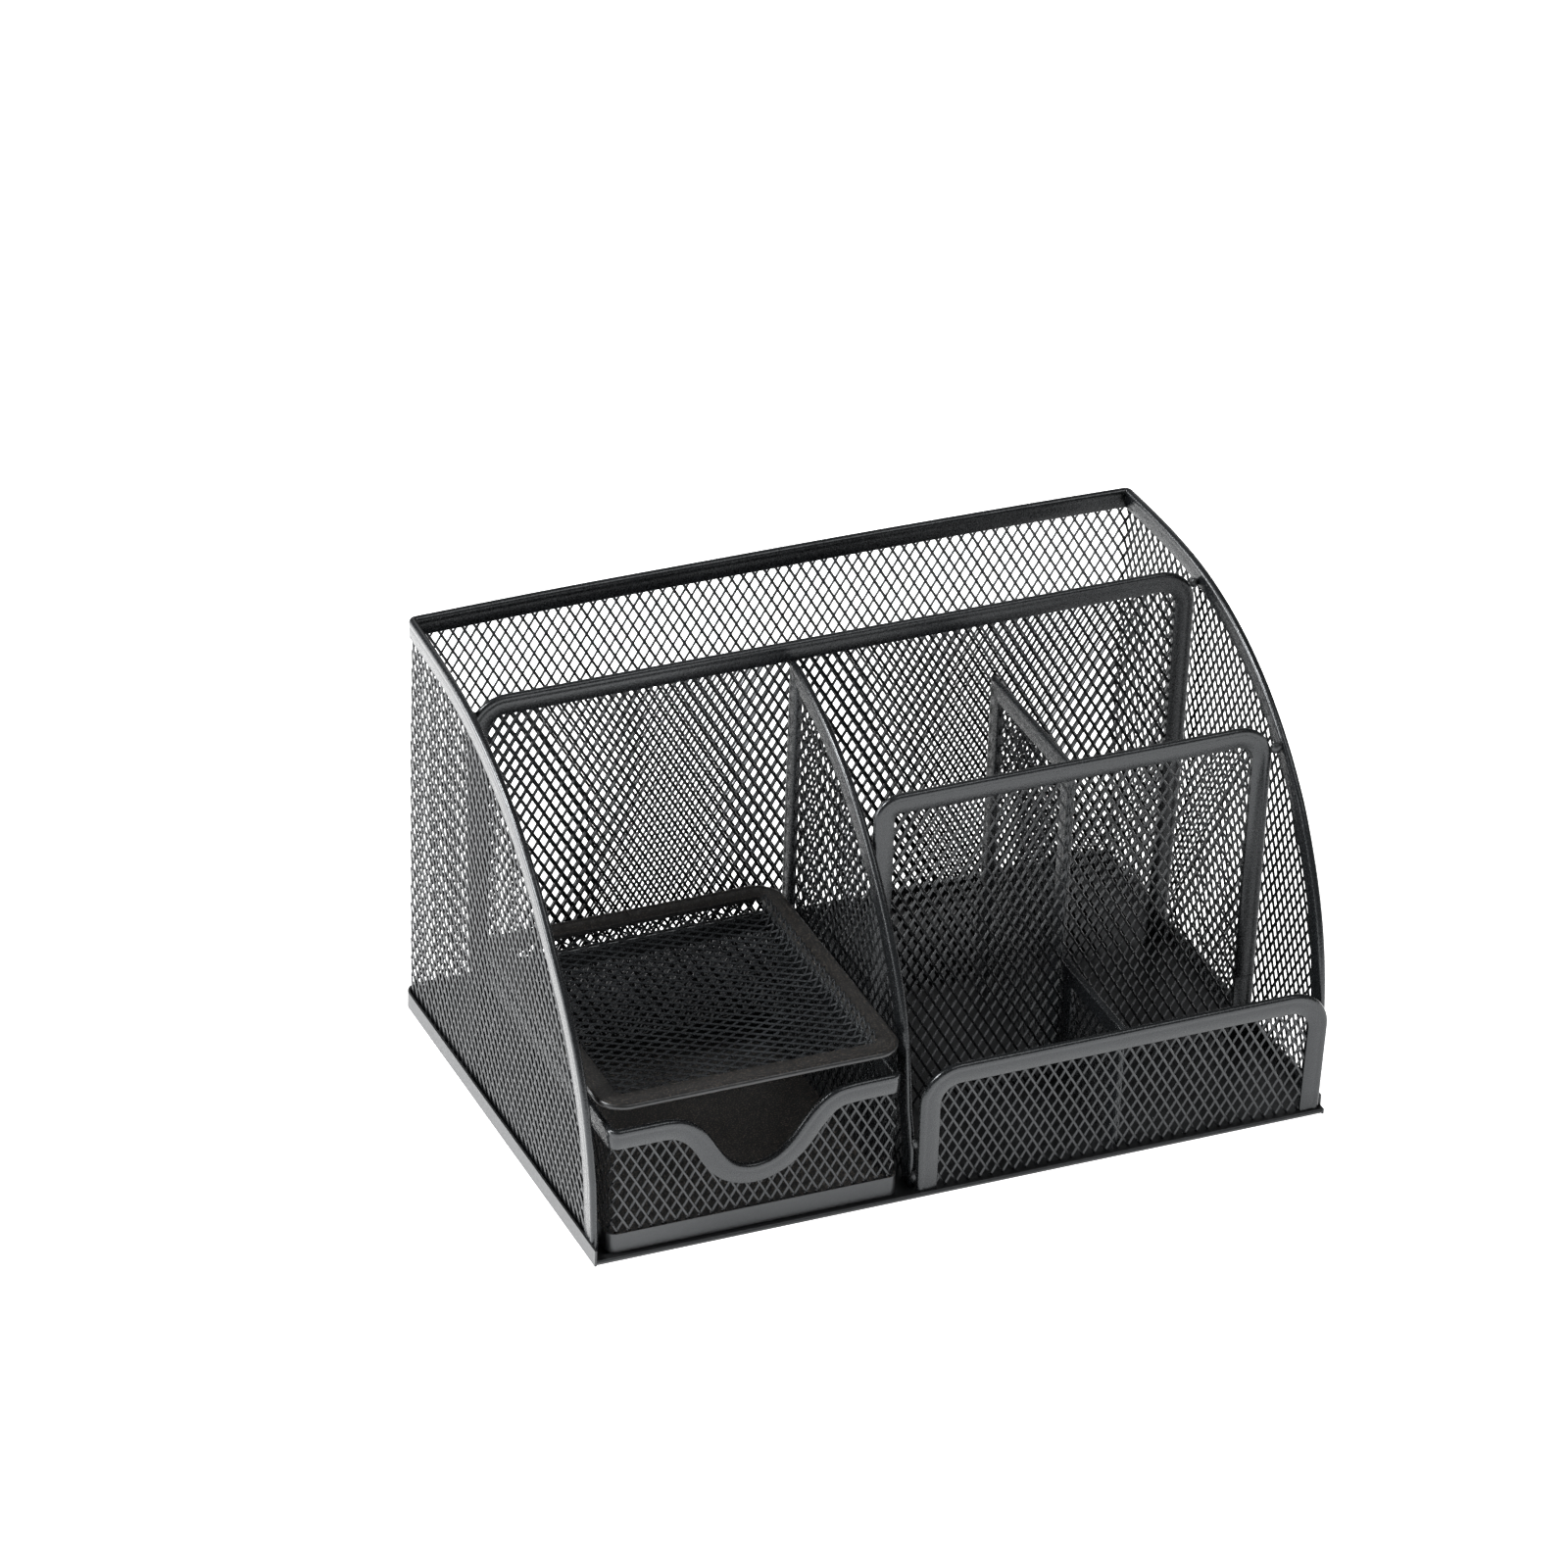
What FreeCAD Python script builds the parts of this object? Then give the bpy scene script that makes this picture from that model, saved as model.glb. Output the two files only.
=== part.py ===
import FreeCAD, Part
import math
import os

# Desk organizer of expanded-metal mesh with folded steel rims, a mesh tray and a sliding drawer.
# Millimetres. X is the width, Y the depth with the front at -Y, Z up from the desk.

os.makedirs("parts", exist_ok=True)

# Case size
HALF_WIDTH = 110.0      # outer face of the side rims
BACK_Y = 72.2           # outer face of the back rim
TOP_Z = 126.5
FRONT_Y = -72.8         # front edge of the base

FAR = 300.0             # beyond every face, for cutting blocks

# Sheet stock
MESH_T = 0.5            # expanded metal, modelled as a plain plate
RIM_T = 2.2             # folded strip over a mesh edge, outside to outside
RIM_W = 6.0             # how far a folded strip reaches onto the mesh
CROWN = 0.9             # solid metal at the fold
BEAD_R = 0.75           # rounding of the fold
FLOOR_T = 0.8
LIP_T = 0.6
LIP_H = 5.0
HEM_H = 1.6             # rolled front edge of the base
HEM_D = 2.6
CORNER_R = 3.0          # vertical back corners, at the mesh centre line

# Side profile, outer edge, from the front foot to the back top corner (Y, Z)
FRONT_EDGE_Y = -69.4
SIDE_PROFILE = [
    (-69.4, 24.0), (-67.6, 36.5), (-64.6, 48.5), (-59.8, 60.5), (-52.6, 72.8), (-43.4, 85.0),
    (-30.6, 98.2), (-14.8, 109.8), (3.6, 118.6), (24.0, 124.1), (47.0, 126.3), (72.5, 126.5),
]

# Partitions
INNER_X = 107.8         # inner face of the side rims
MID_Y = 26.6            # long partition, centre plane
MID_TOP = 124.0
MID_R = 11.0
CENTRE_X = -13.7        # front-to-back divider, centre plane
CENTRE_INSET = 2.8      # how far its curved edge lies inside the side profile
CENTRE_FRONT_Y = -68.0
SECOND_Y = -29.6
SECOND_TOP = 104.2
SECOND_R_LEFT = 8.0
SECOND_R_RIGHT = 11.0
SMALL_X = 47.8          # both small dividers, centre plane
REAR_SMALL_TOP = 101.6
FRONT_SMALL_TOP = 40.2
PANEL_Y = -70.6         # low front panel, centre plane
PANEL_TOP = 40.6
PANEL_LEFT_X = -14.0
PANEL_RIGHT_X = 109.6
PANEL_R = 12.0

# Weld beads
WELD_R = 1.5
WELD_GAP = 0.05         # air left between a bead and the faces beside it
WELD_INSET = 0.8        # from the side rim's inner face to a bead's centre
MID_WELD_Z = 119.4
SECOND_WELD_Z = 96.2
FOOT_WELD_Z = (5.0, 16.0)

# Tray
TRAY_X = (-107.4, -17.6)
TRAY_Y = (-69.2, MID_Y - RIM_T / 2)
TRAY_TOP = 47.8
FLANGE_T = 2.0
FLANGE_W = 6.5
TRAY_FLOOR = 42.0
TRAY_R = 8.0

# Drawer
DRAWER_X = (-106.2, -19.4)
DRAWER_Y = (-71.2, 22.0)
DRAWER_Z = (1.8, 41.2)
DRAWER_R = 3.0
DRAWER_LIP_H = 6.0
DRAWER_SHEET = 0.6
NOTCH = [               # top edge of the front along the finger notch (X, Z)
    (-90.0, 41.2), (-86.0, 40.7), (-82.5, 39.2), (-78.8, 36.3), (-75.7, 32.2), (-72.8, 27.4),
    (-69.3, 23.6), (-65.2, 21.8), (-60.8, 21.8), (-56.2, 23.6), (-51.8, 27.6), (-48.0, 32.8),
    (-44.0, 37.4), (-39.5, 40.2), (-35.0, 41.0), (-30.0, 41.2),
]


def save(name, shape):
    """Write one node; a shape may hold several separate solids."""
    shape = shape.removeSplitter()
    if not shape.isValid():
        shape.fix(0.01, 0.01, 0.1)
    solids = shape.Solids
    out = solids[0] if len(solids) == 1 else Part.makeCompound(solids)
    out.exportStep("parts/" + name + ".step")


def box(x0, x1, y0, y1, z0, z1):
    return Part.makeBox(x1 - x0, y1 - y0, z1 - z0, FreeCAD.Vector(x0, y0, z0))


def smooth_curve(points):
    """A planar smooth curve through (u, v) points, as a curve in the XY plane."""
    curve = Part.BSplineCurve()
    curve.interpolate([FreeCAD.Vector(u, v, 0) for u, v in points])
    return curve


def offset_points(points, distance, count):
    """Points on a curve moved to the right of its direction by a distance."""
    curve = smooth_curve(points)
    first, last = curve.FirstParameter, curve.LastParameter
    moved = []
    for i in range(count):
        t = first + (last - first) * i / (count - 1)
        p = curve.value(t)
        d = curve.tangent(t)[0]
        moved.append((p.x + d.y * distance, p.y - d.x * distance))
    return moved


def prism(edge_points, straight_points, to_3d, direction):
    """Extrude the region closed by a smooth curve and straight edges."""
    curve = smooth_curve(edge_points)
    curve_points = [FreeCAD.Vector(u, v, 0) for u, v in edge_points]
    line_points = [curve_points[-1]]
    line_points += [FreeCAD.Vector(u, v, 0) for u, v in straight_points]
    line_points += [curve_points[0]]
    edges = [curve.toShape()]
    for a, b in zip(line_points, line_points[1:]):
        edges.append(Part.makeLine(a, b))
    face = Part.Face(Part.Wire(edges))
    face.Placement = to_3d
    return face.extrude(direction)


# A drawing plane for (Y, Z) shapes, extruded along X, and one for (X, Z) shapes, extruded along Y
YZ_PLANE = FreeCAD.Placement(FreeCAD.Matrix(0, 0, 1, 0, 1, 0, 0, 0, 0, 1, 0, 0, 0, 0, 0, 1))
XZ_PLANE = FreeCAD.Placement(FreeCAD.Matrix(1, 0, 0, 0, 0, 0, -1, 0, 0, 1, 0, 0, 0, 0, 0, 1))


def side_region(inset, x0, x1, front_y=FRONT_EDGE_Y, bottom=FLOOR_T):
    """Everything under the side profile moved inwards, between two X planes."""
    points = offset_points(SIDE_PROFILE, inset, 25)
    points[0] = (front_y + inset, points[0][1])
    plane = FreeCAD.Placement(YZ_PLANE)
    plane.Base = FreeCAD.Vector(x0, 0, 0)
    corners = [(BACK_Y + 5.0, points[-1][1]), (BACK_Y + 5.0, bottom), (front_y + inset, bottom)]
    return prism(points, corners, plane, FreeCAD.Vector(x1 - x0, 0, 0))


def rounded_rect(x0, x1, y0, y1, r, z0, z1, front_r=None):
    """A block with rounded vertical edges; front_r rounds only the front pair."""
    block = box(x0, x1, y0, y1, z0, z1)
    pairs = {r: [], (front_r if front_r is not None else r): []}
    for edge in block.Edges:
        a, b = edge.Vertexes[0].Point, edge.Vertexes[-1].Point
        if abs(a.x - b.x) + abs(a.y - b.y) > 1e-6:
            continue
        front = a.y < (y0 + y1) / 2
        radius = front_r if (front and front_r is not None) else r
        if radius > 0:
            pairs[radius].append(edge)
    for radius, edges in pairs.items():
        if edges:
            ends = [e.CenterOfMass for e in edges]
            found = [e for e in block.Edges if any(e.CenterOfMass.distanceToPoint(c) < 1e-4 for c in ends)]
            block = block.makeFillet(radius, found)
    return block


def u_wall(outer, thickness):
    """The plan of left side, back and right side as one bent sheet, full height."""
    half = HALF_WIDTH - outer
    back = BACK_Y - outer
    radius = CORNER_R + RIM_T / 2 - outer
    low, high = FRONT_Y - 20.0, TOP_Z + 5.0
    whole = rounded_rect(-half, half, low, back, radius, FLOOR_T, high, front_r=0)
    inner = rounded_rect(
        -half + thickness, half - thickness, low - 1.0, back - thickness,
        radius - thickness, FLOOR_T - 1.0, high + 1.0, front_r=0,
    )
    return whole.cut(inner)


def round_fold(shape, keep):
    """Round the edges chosen by keep(edge), or leave the shape as it is if that fails."""
    edges = [e for e in shape.Edges if e.Length > 1.5 and keep(e)]
    for radius in (BEAD_R, BEAD_R * 0.7, BEAD_R * 0.4):
        try:
            rounded = shape.makeFillet(radius, edges)
        except Exception:
            continue
        if rounded.isValid() and rounded.Volume > 0.9 * shape.Volume:
            return rounded
    return shape


def wall():
    mesh_inset = (RIM_T - MESH_T) / 2
    region = side_region(CROWN, -HALF_WIDTH - 5.0, HALF_WIDTH + 5.0)
    mesh = u_wall(mesh_inset, MESH_T).common(region)
    save("wall_mesh", mesh)
    full = side_region(0.0, -HALF_WIDTH - 5.0, HALF_WIDTH + 5.0)
    inside = side_region(RIM_W, -HALF_WIDTH - 6.0, HALF_WIDTH + 6.0, bottom=FLOOR_T - 2.0)
    band = full.cut(inside)
    rim = u_wall(0.0, RIM_T).common(band)
    rim = rim.cut(u_wall(mesh_inset, MESH_T).common(region))

    def on_fold(edge):
        p = edge.CenterOfMass
        side = abs(abs(p.x) - HALF_WIDTH) < 0.05 or abs(abs(p.x) - INNER_X) < 0.05
        back = abs(p.y - BACK_Y) < 0.05 or abs(p.y - BACK_Y + RIM_T) < 0.05
        if back and p.z > TOP_Z - 0.1 and abs(p.x) < 100.0:
            return True
        if not side or edge.Length < 100.0:
            return False
        return p.y < 20.0 and edge.BoundBox.ZMax > TOP_Z - 0.2

    save("wall_rim", round_fold(rim, on_fold))


def base_pan():
    outer = HALF_WIDTH + LIP_T
    back = BACK_Y + LIP_T
    radius = CORNER_R + RIM_T / 2 + LIP_T
    block = rounded_rect(-outer, outer, FRONT_Y, back, radius, 0.0, LIP_H, front_r=0)
    hollow = rounded_rect(
        -HALF_WIDTH, HALF_WIDTH, FRONT_Y - 1.0, BACK_Y, radius - LIP_T, FLOOR_T, LIP_H + 1.0, front_r=0,
    )
    pan = block.cut(hollow)
    hem = box(-HALF_WIDTH, HALF_WIDTH, FRONT_Y, FRONT_Y + HEM_D, 0.0, HEM_H)
    hem = hem.makeFillet(0.75, [
        e for e in hem.Edges
        if e.Length > 100.0 and abs(e.CenterOfMass.y - FRONT_Y) < 0.01
    ])
    front_strip = box(-HALF_WIDTH, HALF_WIDTH, FRONT_Y - 1.0, FRONT_Y + 1.2, -1.0, HEM_H + 1.0)
    panel_end = box(HALF_WIDTH, outer + 1.0, FRONT_Y - 1.0, PANEL_Y, HEM_H, LIP_H + 1.0)
    pan = pan.cut(front_strip).fuse(hem).cut(panel_end)
    save("base_pan", pan)


def panel_face(u0, u1, v0, v1, r_left, r_right):
    """A plate outline with rounded top corners, as a face in the XY plane."""
    k = math.sqrt(0.5)
    pts = [FreeCAD.Vector(u, v, 0) for u, v in ((u0, v0), (u1, v0), (u1, v1 - r_right))]
    edges = [Part.makeLine(pts[0], pts[1]), Part.makeLine(pts[1], pts[2])]
    here = pts[2]
    if r_right > 0:
        mid = FreeCAD.Vector(u1 - r_right + r_right * k, v1 - r_right + r_right * k, 0)
        end = FreeCAD.Vector(u1 - r_right, v1, 0)
        edges.append(Part.Arc(here, mid, end).toShape())
        here = end
    turn = FreeCAD.Vector(u0 + r_left, v1, 0)
    edges.append(Part.makeLine(here, turn))
    here = turn
    if r_left > 0:
        mid = FreeCAD.Vector(u0 + r_left - r_left * k, v1 - r_left + r_left * k, 0)
        end = FreeCAD.Vector(u0, v1 - r_left, 0)
        edges.append(Part.Arc(here, mid, end).toShape())
        here = end
    edges.append(Part.makeLine(here, pts[0]))
    return Part.Face(Part.Wire(edges))


def slab(face, plane, centre, thickness):
    """Extrude a face of the XZ or YZ plane about a centre plane."""
    placed = face.copy()
    move = FreeCAD.Placement(plane)
    along = FreeCAD.Vector(0, 1, 0) if plane is XZ_PLANE else FreeCAD.Vector(1, 0, 0)
    move.Base = along * (centre - thickness / 2)
    placed.Placement = move
    return placed.extrude(along * thickness)


def rimmed_panel(name, plane, centre, u0, u1, v0, v1, r_left, r_right):
    """A mesh panel with a folded strip along its left, top and right edges."""
    def outline(inset, bottom):
        left = max(r_left - inset, 0.8) if r_left > 0 else 0
        right = max(r_right - inset, 0.8) if r_right > 0 else 0
        return panel_face(u0 + inset, u1 - inset, bottom, v1 - inset, left, right)

    mesh = slab(outline(CROWN, v0), plane, centre, MESH_T)
    save(name + "_mesh", mesh)
    rim = slab(outline(0.0, v0), plane, centre, RIM_T)
    rim = rim.cut(slab(outline(RIM_W, v0 - 2.0), plane, centre, RIM_T + 2.0))
    rim = rim.cut(mesh)
    across = 1 if plane is XZ_PLANE else 0

    def on_fold(edge):
        p = edge.CenterOfMass
        off = abs(abs(p[across] - centre) - RIM_T / 2)
        u_mid = p[1 - across]
        straight = abs(u_mid - u0) < 0.01 or abs(u_mid - u1) < 0.01 or abs(p.z - v1) < 0.01
        corner_left = r_left > 0 and u_mid < u0 + r_left * 0.5 and p.z > v1 - r_left * 0.5
        corner_right = r_right > 0 and u_mid > u1 - r_right * 0.5 and p.z > v1 - r_right * 0.5
        return off < 0.01 and edge.BoundBox.DiagonalLength > 2.5 and (straight or corner_left or corner_right)

    save(name + "_rim", round_fold(rim, on_fold))


def centre_divider():
    x0, x1 = CENTRE_X - MESH_T / 2, CENTRE_X + MESH_T / 2
    back = MID_Y - RIM_T / 2
    front = CENTRE_FRONT_Y - CENTRE_INSET
    behind = box(-FAR, FAR, back, FAR, -10.0, FAR)
    crown_cut = box(-FAR, FAR, back - CROWN, FAR, -10.0, FAR)
    mesh = side_region(CENTRE_INSET + CROWN, x0, x1, front_y=front).cut(crown_cut)
    save("centre_divider_mesh", mesh)
    a, b = CENTRE_X - RIM_T / 2, CENTRE_X + RIM_T / 2
    full = side_region(CENTRE_INSET, a, b, front_y=front).cut(behind)
    window = side_region(CENTRE_INSET + RIM_W, a - 1.0, b + 1.0, front_y=front, bottom=FLOOR_T - 2.0)
    window = window.cut(box(-FAR, FAR, back - RIM_W, FAR, -10.0, FAR))
    rim = full.cut(window).cut(mesh)

    def on_fold(edge):
        p = edge.CenterOfMass
        off = abs(abs(p.x - CENTRE_X) - RIM_T / 2)
        return off < 0.01 and edge.Length > 80.0 and edge.BoundBox.ZMax > 115.0 and p.y < back - 1.0 \
            and edge.BoundBox.YMin < CENTRE_FRONT_Y + 4.0

    save("centre_divider_rim", round_fold(rim, on_fold))


def partitions():
    rimmed_panel("mid_partition", XZ_PLANE, MID_Y, -INNER_X, INNER_X, FLOOR_T, MID_TOP, MID_R, MID_R)
    centre_divider()
    divider_face = CENTRE_X + RIM_T / 2
    rimmed_panel(
        "second_partition", XZ_PLANE, SECOND_Y, divider_face, INNER_X, FLOOR_T,
        SECOND_TOP, SECOND_R_LEFT, SECOND_R_RIGHT,
    )
    rimmed_panel(
        "rear_small_divider", YZ_PLANE, SMALL_X, SECOND_Y + RIM_T / 2, MID_Y - RIM_T / 2,
        FLOOR_T, REAR_SMALL_TOP, 0, 0,
    )
    rimmed_panel(
        "front_small_divider", YZ_PLANE, SMALL_X, PANEL_Y + RIM_T / 2, SECOND_Y - RIM_T / 2,
        FLOOR_T, FRONT_SMALL_TOP, 0, 0,
    )
    rimmed_panel(
        "front_panel", XZ_PLANE, PANEL_Y, PANEL_LEFT_X, PANEL_RIGHT_X, HEM_H, PANEL_TOP, PANEL_R, PANEL_R,
    )


def tray():
    x0, x1 = TRAY_X
    y0, y1 = TRAY_Y
    z1 = TRAY_TOP
    z0 = z1 - FLANGE_T
    brim = (z0 + z1 - MESH_T) / 2
    wall_in = FLANGE_W - MESH_T

    def ring(inset, low, high, r=TRAY_R):
        return rounded_rect(
            x0 + inset, x1 - inset, y0 + inset, y1 - inset, max(r - inset, 1.5), low, high,
        )

    basin = ring(wall_in, TRAY_FLOOR, brim + MESH_T)
    basin = basin.cut(ring(FLANGE_W, TRAY_FLOOR + MESH_T, brim + MESH_T + 1.0))
    edge = ring(CROWN, brim, brim + MESH_T).cut(ring(FLANGE_W, brim - 1.0, brim + MESH_T + 1.0))
    mesh = basin.fuse(edge)
    save("tray_mesh", mesh)
    flange = ring(0.0, z0, z1).cut(ring(FLANGE_W, z0 - 1.0, z1 + 1.0)).cut(mesh)
    flange = flange.cut(ring(wall_in, z0 - 1.0, brim + MESH_T))

    def on_fold(edge):
        p = edge.CenterOfMass
        box_in = x0 + 3.0 < p.x < x1 - 3.0 and y0 + 3.0 < p.y < y1 - 3.0
        level = edge.BoundBox.ZLength < 0.01 and (abs(p.z - z0) < 0.01 or abs(p.z - z1) < 0.01)
        return level and not box_in

    save("tray_flange", round_fold(flange, on_fold))


def drawer():
    x0, x1 = DRAWER_X
    y0, y1 = DRAWER_Y
    z0, z1 = DRAWER_Z
    mesh_in = (RIM_T - MESH_T) / 2
    pan_in = mesh_in - DRAWER_SHEET

    def tube(inset, thickness, low, high):
        outer = rounded_rect(x0 + inset, x1 - inset, y0 + inset, y1 - inset, DRAWER_R - inset, low, high)
        t = inset + thickness
        inner = rounded_rect(x0 + t, x1 - t, y0 + t, y1 - t, DRAWER_R - t, low - 1.0, high + 1.0)
        return outer.cut(inner)

    def above(drop):
        """Everything above the front edge lowered by drop, near the front wall only."""
        pts = offset_points(NOTCH, drop, 41) if drop else NOTCH
        pts[0] = (x0 - 5.0, z1 - drop)
        pts[-1] = (x1 + 5.0, z1 - drop)
        curve_pts = pts[1:-1]
        plane = FreeCAD.Placement(XZ_PLANE)
        plane.Base = FreeCAD.Vector(0, y0 - 5.0, 0)
        corners = [(x1 + 5.0, z1 - drop), (x1 + 5.0, z1 + 20.0), (x0 - 5.0, z1 + 20.0), (x0 - 5.0, z1 - drop)]
        return prism(curve_pts, corners, plane, FreeCAD.Vector(0, 15.0, 0))

    pan = rounded_rect(
        x0 + pan_in, x1 - pan_in, y0 + pan_in, y1 - pan_in, DRAWER_R - pan_in, z0, z0 + DRAWER_LIP_H,
    )
    pan = pan.cut(rounded_rect(
        x0 + mesh_in, x1 - mesh_in, y0 + mesh_in, y1 - mesh_in, DRAWER_R - mesh_in,
        z0 + DRAWER_SHEET, z0 + DRAWER_LIP_H + 1.0,
    ))
    save("drawer_pan", pan)
    mesh = tube(mesh_in, MESH_T, z0 + DRAWER_SHEET, z1 - CROWN).cut(above(CROWN))
    save("drawer_mesh", mesh)
    front = box(x0 - 9.0, x1 + 9.0, y0 - 9.0, y0 + 10.0, -50.0, 100.0)
    body = tube(0.0, RIM_T, z0 + 8.0, z1)
    front_rim = body.common(front).cut(above(0.0)).common(above(RIM_W))
    back_rim = tube(0.0, RIM_T, z1 - RIM_W, z1).cut(front)
    rim = front_rim.fuse(back_rim).removeSplitter().cut(mesh)
    save("drawer_rim", rim)


def weld_bead(x, y, z, radius, keep_x, keep_y):
    """A bead of weld in the corner between two faces, a hair clear of each."""
    ball = Part.makeSphere(radius, FreeCAD.Vector(x, y, z))
    room = box(
        keep_x[0] + WELD_GAP, keep_x[1] - WELD_GAP, keep_y[0] + WELD_GAP, keep_y[1] - WELD_GAP,
        z - 2.0 * radius, z + 2.0 * radius,
    )
    return ball.common(room)


def welds():
    """Small weld beads where a panel edge meets the strip beside it."""
    mid_face = MID_Y - RIM_T / 2
    second_face = SECOND_Y - RIM_T / 2
    panel_back = PANEL_Y + RIM_T / 2
    side_x = INNER_X - WELD_INSET
    beads = [
        weld_bead(side_x, mid_face, MID_WELD_Z, WELD_R, (0.0, INNER_X), (0.0, mid_face)),
        weld_bead(-side_x, mid_face, MID_WELD_Z, WELD_R, (-INNER_X, 0.0), (0.0, mid_face)),
        weld_bead(side_x, second_face, SECOND_WELD_Z, WELD_R, (0.0, INNER_X), (PANEL_Y, second_face)),
    ]
    for z in FOOT_WELD_Z:
        keep_y = (panel_back, CENTRE_FRONT_Y)
        beads.append(weld_bead(CENTRE_X, panel_back, z, WELD_R, (-HALF_WIDTH, 0.0), keep_y))
    save("weld_beads", Part.makeCompound(beads))


wall()
base_pan()
partitions()
tray()
drawer()
welds()
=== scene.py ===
import math
import random

import bpy
import numpy as np
from mathutils import Matrix, Vector


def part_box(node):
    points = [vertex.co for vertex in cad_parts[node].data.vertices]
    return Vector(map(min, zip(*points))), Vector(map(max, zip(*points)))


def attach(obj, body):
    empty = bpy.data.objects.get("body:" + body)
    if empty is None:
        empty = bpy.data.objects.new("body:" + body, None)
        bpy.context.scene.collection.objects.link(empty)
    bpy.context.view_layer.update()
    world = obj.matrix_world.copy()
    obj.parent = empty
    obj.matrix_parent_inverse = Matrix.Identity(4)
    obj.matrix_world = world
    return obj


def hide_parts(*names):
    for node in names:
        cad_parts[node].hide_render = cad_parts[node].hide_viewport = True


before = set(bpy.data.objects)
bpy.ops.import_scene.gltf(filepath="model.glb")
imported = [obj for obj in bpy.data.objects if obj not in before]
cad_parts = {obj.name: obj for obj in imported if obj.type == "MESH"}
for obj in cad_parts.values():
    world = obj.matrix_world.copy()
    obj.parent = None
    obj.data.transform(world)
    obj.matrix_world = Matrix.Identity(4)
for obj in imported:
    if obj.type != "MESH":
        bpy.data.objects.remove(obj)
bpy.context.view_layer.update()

# ---------------------------------------------------------------- sizes, in metres
MM = 0.001

# Expanded metal
SHORT_WAY = 3.5 * MM
LONG_WAY = 5.9 * MM
BAR_WIDTH = 0.60 * MM
WIDE_BAR = 0.78 * MM        # strands of the outer wall and the long partition
BAR_DEPTH = 0.28 * MM
BAR_STAGGER = 0.14 * MM     # the two families of strands lie this far in front of and behind the sheet
BAR_LEAN = math.radians(24)
BAR_JITTER = 0.025 * MM

# Folded strips
RIM_T = 2.2 * MM
RIM_W = 6.0 * MM
HIDDEN = 3.0 * MM           # strands may end this far inside a strip's outer edge
WAVER = 0.10 * MM           # unevenness of the folded strips
FOLD_ANGLE = 38             # edges of a strip sharper than this, in degrees, stay crisp

# The case, from the CAD nodes
case_lo, case_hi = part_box("wall_rim")
HALF_WIDTH = case_hi.x
BACK_Y = case_hi.y
TOP_Z = case_hi.z
FLOOR_Z = case_lo.z
FRONT_EDGE_Y = case_lo.y
INNER_X = HALF_WIDTH - RIM_T
CORNER_R = 1.2 * MM

# Side profile, outer edge, from the front foot to the back top corner (Y, Z)
SIDE_PROFILE = [
    (y * MM, z * MM) for y, z in (
        (-69.4, 24.0), (-67.6, 36.5), (-64.6, 48.5), (-59.8, 60.5), (-52.6, 72.8), (-43.4, 85.0),
        (-30.6, 98.2), (-14.8, 109.8), (3.6, 118.6), (24.0, 124.1), (47.0, 126.3), (72.5, 126.5),
    )
]

# Outward bow of the sprung sheet sides
SIDE_BOW = 3.6 * MM
BACK_BOW = 1.7 * MM
STIFF_SHARE = 0.3             # share of the bow taken by the second partition and the small dividers
BOW_MID_Y = -30.0 * MM
BOW_REACH_Y = 120.0 * MM
BOW_START_Z = 5.0 * MM
BOW_FULL_Z = 85.0 * MM
BACK_BOW_FROM_Y = 40.0 * MM

# Finger notch of the drawer front, top edge (X, Z)
NOTCH = [
    (x * MM, z * MM) for x, z in (
        (-90.0, 41.2), (-86.0, 40.7), (-82.5, 39.2), (-78.8, 36.3), (-75.7, 32.2), (-72.8, 27.4),
        (-69.3, 23.6), (-65.2, 21.8), (-60.8, 21.8), (-56.2, 23.6), (-51.8, 27.6), (-48.0, 32.8),
        (-44.0, 37.4), (-39.5, 40.2), (-35.0, 41.0), (-30.0, 41.2),
    )
]

# Panel corners, left and right where they differ
MID_CORNER_R = 11.0 * MM
SECOND_LEFT_R = 8.0 * MM
SECOND_RIGHT_R = 11.0 * MM
FRONT_PANEL_R = 12.0 * MM
SECOND_SEAM_Z = 22.0 * MM     # where the second partition's strip is joined, on its right edge

# Tray and drawer
TRAY_SEAM_X = -63.0 * MM      # where the tray frame's two ends meet, on its back side
TRAY_R = 8.0 * MM
FLANGE_W = 6.5 * MM
TRAY_BEND = 2.0 * MM
DRAWER_R = 3.0 * MM
DRAWER_MESH_LIFT = 0.7 * MM   # the drawer's strands start this far above the pan's underside

# Welds
MID_WELD_Z = 119.4 * MM
SECOND_WELD_Z = 96.2 * MM
FOOT_WELD_Z = (5.0 * MM, 16.0 * MM)
WELD_INSET = 0.9 * MM         # centre of a side weld, inwards from the side strip's inner face
LONG_WELD = 1.5               # stretch of the weld that bridges the gap beside the second partition
LONG_WELD_SHIFT = 0.6 * MM
FOOT_WELD_GAP = 0.5 * MM

# Camera, matched to the photograph's perspective
CAMERA_AT = Vector((-0.8817, -1.8982, 1.3297))
CAMERA_FORWARD = Vector((0.35326, 0.78426, -0.51005))
CAMERA_RIGHT = Vector((0.91889, -0.39322, 0.03181))
LENS = 200.92


# ---------------------------------------------------------------- camera
def add_camera():
    """The camera at the photograph's viewing angle."""
    data = bpy.data.cameras.new("camera")
    data.lens = LENS
    data.sensor_width = 36.0
    data.clip_start = 0.05
    data.clip_end = 50.0
    cam = bpy.data.objects.new("camera", data)
    bpy.context.scene.collection.objects.link(cam)
    up = CAMERA_RIGHT.cross(CAMERA_FORWARD)
    turned = Matrix((CAMERA_RIGHT, up, -CAMERA_FORWARD)).transposed()
    cam.matrix_world = Matrix.Translation(CAMERA_AT) @ turned.to_4x4()
    bpy.context.scene.camera = cam


add_camera()


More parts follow.
